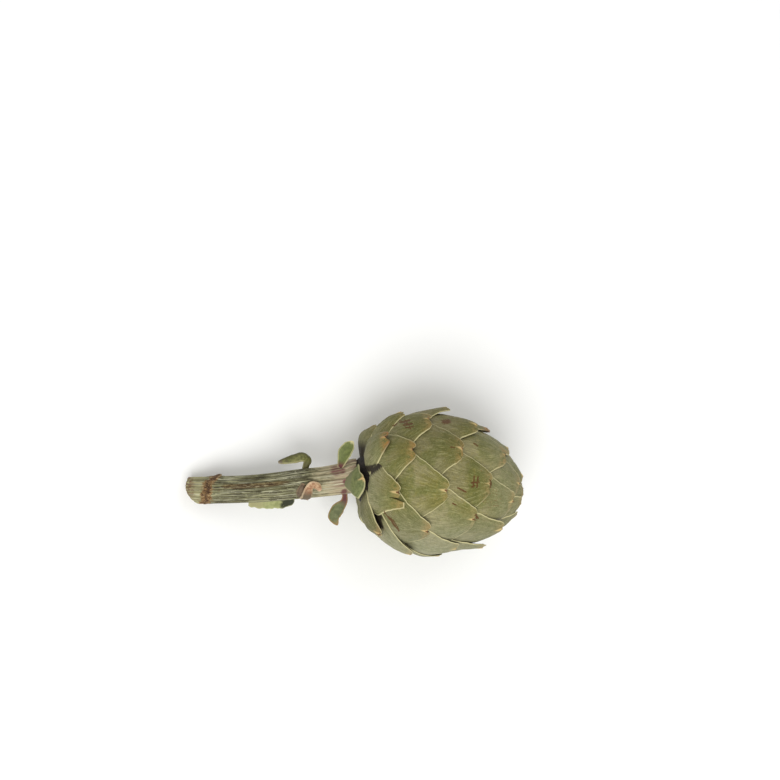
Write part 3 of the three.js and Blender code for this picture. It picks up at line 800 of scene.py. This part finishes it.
# Painted shade for the side of the head away from the key light.
PAINTED_TOP_SHADE = colour(80, 66, 38)
RED_BROWN = colour(112, 68, 38)
MARK_BROWN = colour(86, 52, 20)
SHADE = colour(60, 54, 40)
# Painted shade for the deep gaps between the bracts and over the neck.
DEEP_SHADE = colour(36, 28, 20)
PURPLE = colour(96, 52, 52)


class Surface:
    """A material, its colour so far, and short ways to add nodes to it."""

    def __init__(self, name):
        self.material = bpy.data.materials.new(name)
        self.material.use_nodes = True
        self.tree = self.material.node_tree
        self.shader = self.tree.nodes["Principled BSDF"]
        self.base = None

    def put(self, socket, value):
        if isinstance(value, bpy.types.NodeSocket):
            self.tree.links.new(value, socket)
        else:
            socket.default_value = value

    def node(self, kind, given=(), **settings):
        """Makes a node, fills the inputs that are given by number or name, and returns its outputs."""
        made = self.tree.nodes.new(kind)
        for key, value in settings.items():
            setattr(made, key, value)
        for key in given:
            self.put(made.inputs[key], given[key])
        return made.outputs

    def attribute(self, name, output="Fac"):
        return self.node("ShaderNodeAttribute", attribute_name=name)[output]

    def math(self, operation, *values):
        return self.node("ShaderNodeMath", dict(enumerate(values)), operation=operation)[0]

    def times(self, first, *others):
        for other in others:
            first = self.math("MULTIPLY", first, other)
        return first

    def plus(self, first, second):
        return self.math("ADD", first, second)

    def greater(self, first, second):
        return self.math("MAXIMUM", first, second)

    def sway(self, noise, reach):
        """A noise as a shift to either side, which makes an edge uneven."""
        return self.times(self.math("SUBTRACT", noise, 0.5), reach)

    def vector(self, operation, first, second=(0, 0, 0), output="Vector", scale=1.0):
        given = {0: first, 1: second, 3: scale}
        return self.node("ShaderNodeVectorMath", given, operation=operation)[output]

    def ramp(self, value, low, high, start=0.0, end=1.0, kind="SMOOTHSTEP"):
        """From start where the value is low, to end where it is high."""
        given = {"Value": value, "From Min": low, "From Max": high, "To Min": start, "To Max": end}
        return self.node("ShaderNodeMapRange", given, interpolation_type=kind)[0]

    def mix(self, share, first, second):
        return self.node("ShaderNodeMix", {0: share, 6: first, 7: second}, data_type="RGBA")[2]

    def coat(self, share, over):
        """Lays a colour over what the surface has so far."""
        self.base = self.mix(share, self.base, over)

    def scaled(self, vector, scale):
        return self.node("ShaderNodeMapping", {"Vector": vector, "Scale": scale})[0]

    def noise(self, vector, scale=1.0, detail=3.0, rough=0.55, stretch=(1, 1, 1)):
        placed = self.scaled(vector, [scale * part for part in stretch])
        given = {"Vector": placed, "Scale": 1.0, "Detail": detail, "Roughness": rough}
        return self.node("ShaderNodeTexNoise", given)["Fac"]

    def place(self):
        """The object's own coordinates, in millimetres."""
        return self.scaled(self.node("ShaderNodeTexCoord")["Object"], (1 / MM, 1 / MM, 1 / MM))

    def join(self, *parts):
        return self.node("ShaderNodeCombineXYZ", dict(enumerate(parts)))[0]

    def split(self, vector):
        return self.node("ShaderNodeSeparateXYZ", {0: vector})

    def bump(self, height, strength, distance):
        given = {"Strength": strength, "Distance": distance * MM, "Height": height}
        self.put(self.shader.inputs["Normal"], self.node("ShaderNodeBump", given)[0])

    def finish(self, roughness, specular):
        self.put(self.shader.inputs["Base Color"], self.base)
        self.put(self.shader.inputs["Roughness"], roughness)
        self.shader.inputs["Specular IOR Level"].default_value = specular
        return self.material


def bract_material():
    s = Surface("bract_skin")
    sideways, from_tip, across = s.split(s.attribute("leaf", "Vector"))
    grey, dark, patch = s.split(s.attribute("tint_and_shade", "Vector"))
    place = s.place()
    veins = s.join(s.times(across, 15), from_tip, patch)
    coarse = s.noise(veins, stretch=(0.55, 0.035, 1), detail=4)
    fine = s.noise(veins, stretch=(2.2, 0.16, 1), detail=3, rough=0.6)
    mottle = s.noise(place, scale=0.45, detail=5, rough=0.65)

    bract_green(s, from_tip, across, place, coarse, mottle)
    bract_bloom_and_shade(s, place, mottle, grey, dark)
    bract_veins(s, place, veins, fine)
    bract_edges(s, from_tip, sideways, mottle)
    bract_marks(s, place)
    s.coat(s.attribute("spine"), BROWN)
    bract_shade(s, place)
    s.bump(s.plus(s.times(fine, 0.6), s.times(coarse, 0.8)), 0.5, 0.45)
    return s.finish(s.ramp(fine, 0.35, 0.65, 0.66, 0.54), 0.22)


def bract_green(s, from_tip, across, place, coarse, mottle):
    """A bract's own green: grey and tan where it leaves its neighbours' cover, olive towards its tip."""
    cloud = s.noise(place, scale=0.07, detail=3)
    reach = s.plus(from_tip, s.sway(coarse, 20))
    reach = s.plus(reach, s.times(s.math("ABSOLUTE", across), 6))
    s.base = s.mix(s.ramp(reach, 9, 25), OLIVE, GREY_TAN)
    s.coat(s.ramp(cloud, 0.42, 0.6, 0, 0.8), LEAF_GREEN)
    s.coat(s.ramp(mottle, 0.48, 0.7, 0, 0.6), YELLOW_GREEN)
    s.coat(s.ramp(mottle, 0.5, 0.3, 0, 0.3), DARK_GREEN)


def bract_bloom_and_shade(s, place, mottle, grey, dark):
    """The grey bloom towards the near side, the stem and the head's tip, how dark each bract is, partly its
    own tone and partly painted shade, and painted shade on the side of the head away from the key light.
    """
    x, y = s.split(place)[:2]
    dusty = s.greater(s.ramp(y, -6, -38, 0, 0.8), s.ramp(x, 18, -2, 0, 0.6))
    dusty = s.greater(dusty, s.greater(s.times(grey, 0.1), s.ramp(x, 58, 84, 0, 0.5)))
    s.coat(s.times(dusty, s.ramp(mottle, 0.3, 0.6, 0.55, 1)), GREY_GREEN)
    # How dark each bract is: partly its own tone, partly painted shade.
    s.coat(s.times(dark, 0.3), DARK_GREEN)
    # Painted shade: browner and darker towards high Y, the side of the head that the key light reaches less.
    s.coat(s.ramp(y, 14, 44, 0, 0.3), PAINTED_TOP_SHADE)


def bract_veins(s, place, veins, fine):
    """The fine lines along a bract, and a grain."""
    thread = s.noise(veins, stretch=(4.2, 0.14, 1), detail=2, rough=0.5)
    grain = s.noise(place, scale=1.7, detail=2, rough=0.6)
    s.coat(s.ramp(fine, 0.52, 0.34, 0, 0.3), DARK_GREEN)
    s.coat(s.ramp(fine, 0.52, 0.7, 0, 0.3), PALE_THREAD)
    s.coat(s.ramp(thread, 0.58, 0.7, 0, 0.26), DARK_GREEN)
    s.coat(s.ramp(grain, 0.54, 0.7, 0, 0.22), PALE_THREAD)
    s.coat(s.ramp(grain, 0.46, 0.3, 0, 0.26), DARK_GREEN)


def bract_edges(s, from_tip, sideways, mottle):
    """The pale keel and rim, the orange-brown of worn tips, and the red-brown of the notch."""
    worn, edge = s.attribute("worn"), s.attribute("edge")
    near_tip = s.times(s.ramp(from_tip, 8, 1), s.ramp(mottle, 0.38, 0.55))
    s.coat(s.times(near_tip, 0.22), TAN)
    s.coat(s.times(near_tip, worn), ORANGE_BROWN)
    keel = s.mix(s.times(worn, 0.7), KEEL_CREAM, ORANGE_BROWN)
    s.coat(s.ramp(s.attribute("keel"), 0.2, 0.8, 0, 0.85), keel)
    rim = s.plus(edge, s.sway(mottle, 0.5))
    s.coat(s.ramp(rim, 0.55, 0.22, 0, 0.8), CREAM)
    s.coat(s.times(s.ramp(rim, 0.9, 0.2), s.ramp(from_tip, 10, 1), worn), BROWN)
    off_notch = s.plus(s.math("ABSOLUTE", sideways), s.times(mottle, 1.6))
    s.coat(s.times(s.ramp(off_notch, 2.4, 1.3), s.ramp(edge, 1.1, 0.4), 0.85), RED_BROWN)


def scratch(s, flat, start, end, width):
    """How near a place is to a straight scratch, from 1 on it to 0 at its width away."""
    run = (end[0] - start[0], end[1] - start[1], 0)
    squared = run[0] ** 2 + run[1] ** 2
    from_start = s.vector("SUBTRACT", flat, (*start, 0))
    share = s.vector("DOT_PRODUCT", from_start, [part / squared for part in run], "Value")
    along = s.vector("SCALE", run, scale=s.ramp(share, 0, 1, kind="LINEAR"))
    gap = s.vector("DISTANCE", from_start, along, "Value")
    return s.math("MULTIPLY_ADD", gap, -1 / width, 1)


def bract_marks(s, place):
    """Scratches and bruises on the side that faces up, scattered freckles, and a patch with many."""
    flat = s.vector("MULTIPLY", place, (1, 1, 0))
    near = 0.0
    for start, end, width in MARKS:
        near = s.greater(near, scratch(s, flat, start, end, width))
    broken = s.noise(place, scale=1.1, detail=5, rough=0.75)
    marked = s.times(s.ramp(s.plus(near, s.sway(broken, 3.6)), 0.15, 0.55), s.ramp(near, 0.0, 0.25))
    above = s.ramp(s.split(place)[2], MARKS_ABOVE - 1, MARKS_ABOVE)
    s.coat(s.times(marked, above, 0.9), MARK_BROWN)
    freckles = s.noise(place, scale=0.9, detail=2, rough=0.5)
    s.coat(s.ramp(freckles, 0.7, 0.75, 0, 0.65), BROWN)
    speckled = s.ramp(s.vector("DISTANCE", flat, (*SPECKLED, 0), "Value"), 10, 4)
    freckles = s.noise(place, scale=1.3, detail=2, rough=0.5)
    s.coat(s.times(speckled, s.ramp(freckles, 0.58, 0.64, 0, 0.7)), BROWN)


def bract_shade(s, place):
    """Painted shade: on a bract's underside, on its covered base, in the gaps beside loose bracts, and over
    the neck.
    """
    s.coat(s.times(s.attribute("under"), 0.65), SHADE)
    x, y, z = s.split(place)
    # Painted shade in the gap between the head's base and the stem.
    neck_shade = s.times(s.ramp(x, 6, 2), s.ramp(z, 54, 47), s.ramp(z, 32, 38))
    neck_shade = s.times(neck_shade, s.ramp(y, 28, 20), s.ramp(y, 2, 8))
    s.coat(s.times(s.greater(s.attribute("deep"), neck_shade), 0.95), DEEP_SHADE)


def core_shade_material():
    s = Surface("core_painted_shade")
    streaks = s.noise(s.attribute("leaf", "Vector"), stretch=(1.4, 0.2, 1), detail=4)
    # The core is near black: painted shade for where it shows in the deep gaps between the bracts.
    s.base = s.mix(s.ramp(streaks, 0.4, 0.65), colour(22, 18, 13), colour(42, 32, 25))
    s.bump(streaks, 0.5, 0.5)
    return s.finish(s.ramp(streaks, 0.3, 0.7, 0.8, 0.65), 0.3)


def stem_material():
    s = Surface("stem_skin")
    leaf = s.attribute("leaf", "Vector")
    along = s.split(leaf)[1]
    place = s.place()
    fine = s.noise(leaf, stretch=(1.0, 0.028, 1), detail=3, rough=0.6)
    thread = s.noise(leaf, stretch=(1.6, 0.035, 1), detail=3, rough=0.55)
    broken = s.noise(place, scale=0.5, detail=6, rough=0.7)

    pale = stem_green(s, along, place)
    strength = s.times(s.ramp(pale, 0, 1, 0.8, 0.35), s.ramp(along, -92, -84, 0.5, 1))
    stem_grooves(s, strength, fine, thread)
    stem_cracks(s, strength, leaf, broken)
    stem_scars(s, leaf, along, broken)
    stem_stains(s, along, place, fine)
    stem_cut(s, along, place, broken)
    height = s.plus(s.times(fine, 0.7), s.times(thread, 0.4))
    height = s.plus(height, s.times(broken, s.attribute("scar"), 1.5))
    s.bump(height, 0.7, 0.6)
    return s.finish(s.ramp(fine, 0.3, 0.7, 0.76, 0.6), 0.3)


def stem_green(s, along, place):
    """The stem's own green, paler next to the cut and near the head. Returns how pale it is near the head."""
    cloud = s.noise(place, scale=0.12, detail=4)
    pale = s.ramp(s.plus(along, s.sway(cloud, 26)), -34, -16)
    s.base = s.mix(s.ramp(cloud, 0.35, 0.65), colour(126, 124, 88), colour(156, 154, 116))
    s.coat(s.ramp(along, -84, -92, 0, 0.7), colour(184, 178, 134))
    s.coat(pale, colour(186, 174, 140))
    return pale


def stem_grooves(s, strength, fine, thread):
    """Dark grooves and pale threads between them."""
    groove = s.times(s.ramp(s.attribute("rib"), 0.6, 0.1), s.ramp(fine, 0.62, 0.42, 0.35, 1))
    s.coat(s.times(groove, strength), colour(58, 54, 28))
    s.coat(s.times(s.ramp(fine, 0.5, 0.36, 0, 0.65), strength), colour(74, 70, 40))
    s.coat(s.ramp(thread, 0.52, 0.62, 0, 0.75), colour(198, 196, 168))
    s.coat(s.times(s.ramp(thread, 0.46, 0.36), strength), colour(72, 66, 38))


def stem_cracks(s, strength, leaf, broken):
    """Thin dark lines along the stem, where a stretched noise passes its middle value."""
    for stretch in ((0.75, 0.03, 1), (1.15, 0.05, 1)):
        crack = s.noise(leaf, stretch=stretch, detail=2, rough=0.45)
        off_crack = s.math("ABSOLUTE", s.math("SUBTRACT", crack, 0.5))
        cracked = s.times(s.ramp(off_crack, 0.048, 0.018), s.ramp(broken, 0.36, 0.5, 0.3, 1))
        s.coat(s.times(cracked, strength), colour(50, 44, 24))


def stem_scars(s, leaf, along, broken):
    """The torn ring that a fallen leaf left, and the long brown streak beside it."""
    scar = s.attribute("scar")
    ring = s.plus(scar, s.sway(broken, 2.6))
    s.coat(s.ramp(ring, 0.3, 0.7, 0, 0.9), colour(126, 92, 52))
    s.coat(s.ramp(ring, 0.7, 1.0, 0, 0.9), colour(62, 40, 24))
    fibre = s.noise(leaf, stretch=(2.2, 1.1, 1), detail=3, rough=0.6)
    s.coat(s.times(s.ramp(fibre, 0.54, 0.66), s.ramp(scar, 0.3, 0.7)), colour(184, 152, 106))
    off_line = s.math("ABSOLUTE", s.math("SUBTRACT", s.attribute("angle"), STREAK_ANGLE))
    line = s.times(s.ramp(off_line, 0.28, 0.02), s.ramp(along, -83, -76), s.ramp(along, -36, -54))
    s.coat(s.ramp(line, 0.1, 0.7, 0, 0.4), colour(128, 98, 54))
    torn = s.noise(leaf, stretch=(1.3, 0.22, 1), detail=6, rough=0.75)
    streak = s.ramp(s.times(line, s.ramp(torn, 0.46, 0.56)), 0.15, 0.4)
    s.coat(s.times(streak, 0.95), colour(62, 44, 18))


def stem_stains(s, along, place, fine):
    """Purple spots where the small bracts' stalks join the stem, and a purple tinge near the head."""
    flat = s.vector("MULTIPLY", place, (1, 1, 0))
    stained = 0.0
    for *middle, width in STAINS:
        gap = s.vector("DISTANCE", flat, (*middle, 0), "Value")
        stained = s.greater(stained, s.ramp(gap, width, 0.4 * width))
    s.coat(s.times(stained, s.ramp(fine, 0.36, 0.52, 0.3, 0.95)), PURPLE)
    tinge = s.times(s.ramp(along, -22, -9), s.ramp(fine, 0.46, 0.58), 0.6)
    s.coat(tinge, colour(118, 76, 72))


def stem_cut(s, along, place, broken):
    """The pale pith of the cut end, its brown rim, and the dry skin next to it."""
    cut = s.attribute("cut")
    pith = s.mix(s.ramp(broken, 0.4, 0.7), colour(190, 176, 132), colour(150, 126, 84))
    s.coat(s.ramp(cut, 0.02, 0.08), pith)
    s.coat(s.times(s.ramp(cut, 0.0, 0.04), s.ramp(cut, 0.4, 0.1)), colour(112, 78, 50))
    dry = s.times(s.ramp(along, -94.5, -98), s.ramp(broken, 0.4, 0.58))
    s.coat(s.times(dry, s.ramp(s.split(place)[1], -12, -4, 0.3, 1), 0.85), colour(112, 76, 52))


def blade_material(
    name, body, tip, stalk, veins, rim=CREAM, rim_share=0.5, stalk_to=0.32, tip_from=0.9, lower_edge_shade=0
):
    """The skin of a small bract or leaf, from its stalk's colour through its body to its tip's."""
    s = Surface(name)
    leaf = s.attribute("leaf", "Vector")
    streaks = s.noise(leaf, stretch=(2.2, 0.16, 1), detail=4, rough=0.6)
    mottle = s.noise(s.place(), scale=0.5, detail=5, rough=0.65)
    s.base = s.mix(s.ramp(mottle, 0.35, 0.65), body, veins)
    s.coat(s.ramp(streaks, 0.45, 0.65, 0, 0.6), veins)
    wandering = s.plus(s.attribute("share"), s.sway(mottle, 0.25))
    s.coat(s.ramp(wandering, stalk_to + 0.1, stalk_to - 0.1), stalk)
    s.coat(s.ramp(wandering, tip_from - 0.05, tip_from + 0.08), tip)
    s.coat(s.ramp(s.plus(s.attribute("edge"), s.sway(mottle, 0.7)), 0.6, 0.2, 0, rim_share), rim)
    s.coat(s.ramp(s.attribute("keel"), 0.2, 0.8, 0, 0.8), TAN)
    # Painted shade along the leaf's lower edge.
    s.coat(s.ramp(s.split(leaf)[2], -0.1, 0.7, 0, lower_edge_shade), DARK_GREEN)
    s.coat(s.times(s.attribute("under"), 0.4), SHADE)
    s.bump(s.plus(streaks, s.times(mottle, 0.5)), 0.6, 0.4)
    return s.finish(s.ramp(streaks, 0.3, 0.7, 0.68, 0.52), 0.35)


BLADE_COLOURS = {
    "neck_bract": dict(body=colour(84, 94, 52), tip=TAN, stalk=colour(112, 114, 80),
                       veins=colour(116, 122, 74), rim_share=0.6),
    "stalked_bract": dict(body=colour(112, 120, 64), tip=CREAM, stalk=PURPLE, veins=colour(86, 94, 46)),
    "hanging_bract": dict(body=colour(116, 120, 80), tip=colour(134, 116, 72), stalk=PURPLE,
                          veins=colour(88, 94, 58), rim=colour(166, 126, 70), stalk_to=0.42),
    "curled_leaflet": dict(body=colour(126, 124, 72), tip=colour(98, 84, 76), stalk=colour(92, 88, 50),
                           veins=colour(82, 84, 42), rim_share=0.3, tip_from=0.93, lower_edge_shade=0.8),
    "torn_leaf": dict(body=colour(168, 170, 116), tip=colour(42, 46, 20), stalk=colour(168, 164, 118),
                      veins=colour(140, 146, 92), rim=colour(190, 190, 146), tip_from=0.68),
    "dried_stub": dict(body=colour(196, 164, 128), tip=colour(212, 174, 144), stalk=colour(98, 84, 64),
                       veins=colour(138, 92, 60), rim=colour(220, 196, 160), stalk_to=0.44),
    "dried_husk": dict(body=colour(110, 92, 70), tip=colour(122, 100, 76), stalk=colour(92, 76, 56),
                       veins=colour(78, 62, 46), rim=colour(150, 130, 100)),
    "scar_scale": dict(body=colour(112, 88, 58), tip=colour(104, 82, 56), stalk=colour(104, 78, 48),
                       veins=colour(76, 54, 34), rim=colour(150, 130, 92)),
}

GROUPS = {
    "basal_bracts": range(FIRST_BRACT, 0),
    "lower_bracts": range(0, 10),
    "middle_bracts": range(10, 20),
    "upper_bracts": range(20, 32),
    "crown_bracts": range(32, INNERMOST_BRACT + 1),
}


def make_head():
    """The bracts, in groups of neighbours, and the core."""
    skin = bract_material()
    for name, numbers in GROUPS.items():
        shape = Shape()
        for number in numbers:
            if number != STEM_BRACT:
                add_bract(shape, number)
        make_piece(name, shape, skin, "head")
    core = Shape()
    add_core(core)
    make_piece("head_core", core, core_shade_material(), "head")


def make_stem():
    """The bare stem, and each small bract or leaf as a piece of its own."""
    body = Shape()
    add_stem(body)
    make_piece("stem_body", body, stem_material(), "stem", crease=50)
    for name, blade in BLADES.items():
        shape = Shape()
        add_blade(shape, **blade)
        make_piece(name, shape, blade_material(name + "_skin", **BLADE_COLOURS[name]), "stem")


# The camera, the light and the surface that the artichoke lies on.

CAMERA_DISTANCE = 1200
VIEW_TILT = math.radians(12)  # the camera leans towards the stem's end
VIEW_MIDDLE = (27.22, 55.4, 32.87)  # what the picture's middle looks at: right, up and towards the camera
PIXELS = 780
PIXEL_SIZE = 0.6  # millimetres, at the middle
SENSOR = 36
FLOOR_REACH = 4.0  # metres
SKY_LIGHT = 0.62


def placed(place, side, up, back):
    """Where something stands, in metres, and which ways its own right, top and back point."""
    axes = np.stack([side, up, back], axis=1).tolist()
    return Matrix.Translation(place) @ Matrix([[*row, 0] for row in axes] + [[0, 0, 0, 1]])


def make_camera():
    right = np.array([math.cos(VIEW_TILT), 0, math.sin(VIEW_TILT)])
    up = np.array([0, 1, 0])
    back = np.array([-math.sin(VIEW_TILT), 0, math.cos(VIEW_TILT)])
    data = bpy.data.cameras.new("camera")
    data.sensor_width = SENSOR
    data.lens = SENSOR * CAMERA_DISTANCE / (PIXELS * PIXEL_SIZE)
    data.clip_start = 0.01
    camera = bpy.data.objects.new("camera", data)
    u, v, w = VIEW_MIDDLE
    place = (right * u + up * v + back * (w + CAMERA_DISTANCE)) * MM
    camera.matrix_world = placed(place.tolist(), right, up, back)
    bpy.context.scene.collection.objects.link(camera)
    bpy.context.scene.camera = camera


def make_light(name, place, size, power):
    data = bpy.data.lights.new(name, "AREA")
    data.shape = "DISK"
    data.size = size
    data.energy = power
    lamp = bpy.data.objects.new(name, data)
    towards = -unit(np.array(place, float))
    side = unit(np.cross(towards, [0, 0.1, 1]))
    lamp.matrix_world = placed(place, side, np.cross(side, towards), -towards)
    bpy.context.scene.collection.objects.link(lamp)


def make_floor():
    mesh = bpy.data.meshes.new("floor")
    corners = [(x * FLOOR_REACH, y * FLOOR_REACH, 0) for x, y in ((-1, -1), (1, -1), (1, 1), (-1, 1))]
    mesh.from_pydata(corners, [], [(0, 1, 2, 3)])
    floor = bpy.data.objects.new("floor", mesh)
    s = Surface("floor_paint")
    grain = s.noise(s.place(), scale=0.01, detail=2)
    s.base = s.mix(grain, colour(240, 240, 238), colour(246, 246, 244))
    mesh.materials.append(s.finish(0.85, 0.1))
    bpy.context.scene.collection.objects.link(floor)


def make_world():
    world = bpy.data.worlds.new("studio")
    world.use_nodes = True
    background = world.node_tree.nodes["Background"]
    background.inputs["Color"].default_value = (1.0, 1.0, 1.0, 1.0)
    background.inputs["Strength"].default_value = SKY_LIGHT
    bpy.context.scene.world = world


make_camera()
make_world()
make_floor()
make_light("key", (-0.35, -0.9, 1.7), 1.5, 26)
make_light("fill", (0.5, 1.3, 1.6), 1.6, 7)
bpy.context.scene.view_settings.view_transform = "Standard"
make_head()
make_stem()
